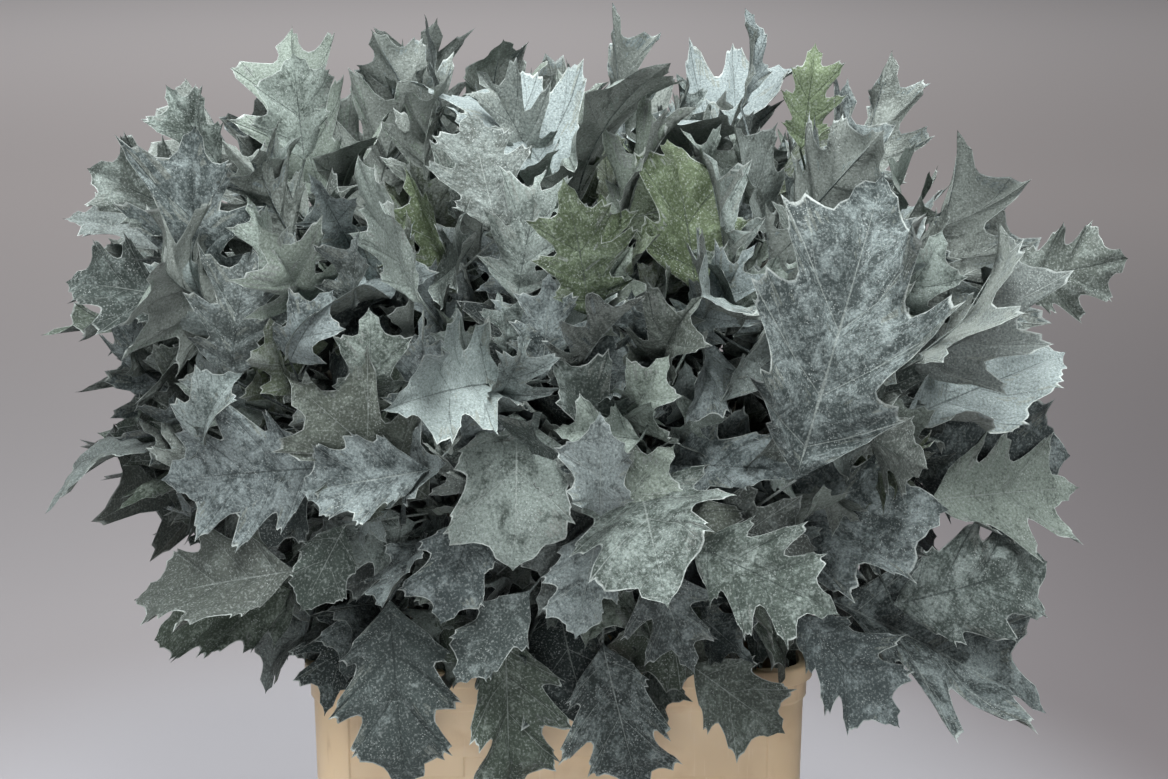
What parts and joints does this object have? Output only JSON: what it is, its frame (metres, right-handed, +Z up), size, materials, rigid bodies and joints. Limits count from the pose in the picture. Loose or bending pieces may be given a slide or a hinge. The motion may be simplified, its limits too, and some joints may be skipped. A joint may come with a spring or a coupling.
{
  "type": "bucket of bleached red oak branches",
  "caption": "Dense bunch of cut red oak branches with grey-white coated dried leaves, standing in a beige rectangular plastic flower bucket.",
  "frame": {"origin": "centre of the bucket's underside", "axes": "+Z up, +X along the bucket's long side to the right as seen from the front, -Y to the front"},
  "size_m": [0.955, 0.7404, 0.9013],
  "materials": {
    "foliage": "matte, chalky grey-white coating",
    "bucket": "smooth, slightly scuffed"
  },
  "bodies": {
    "root": {"branch_01": "foliage", "branch_02": "foliage", "branch_03": "foliage", "branch_04": "foliage", "branch_05": "foliage", "branch_06": "foliage", "branch_07": "foliage", "branch_08": "foliage", "branch_09": "foliage", "branch_10": "foliage", "branch_11": "foliage", "branch_12": "foliage", "branch_13": "foliage", "branch_14": "foliage", "branch_15": "foliage", "branch_16": "foliage", "branch_17": "foliage", "branch_18": "foliage", "branch_19": "foliage", "branch_20": "foliage", "branch_21": "foliage", "branch_22": "foliage", "branch_23": "foliage", "branch_24": "foliage", "branch_25": "foliage", "branch_26": "foliage", "branch_27": "foliage", "branch_28": "foliage", "branch_29": "foliage", "branch_30": "foliage", "branch_31": "foliage", "branch_32": "foliage", "branch_33": "foliage", "bucket": "bucket"}
  },
  "joints": []
}
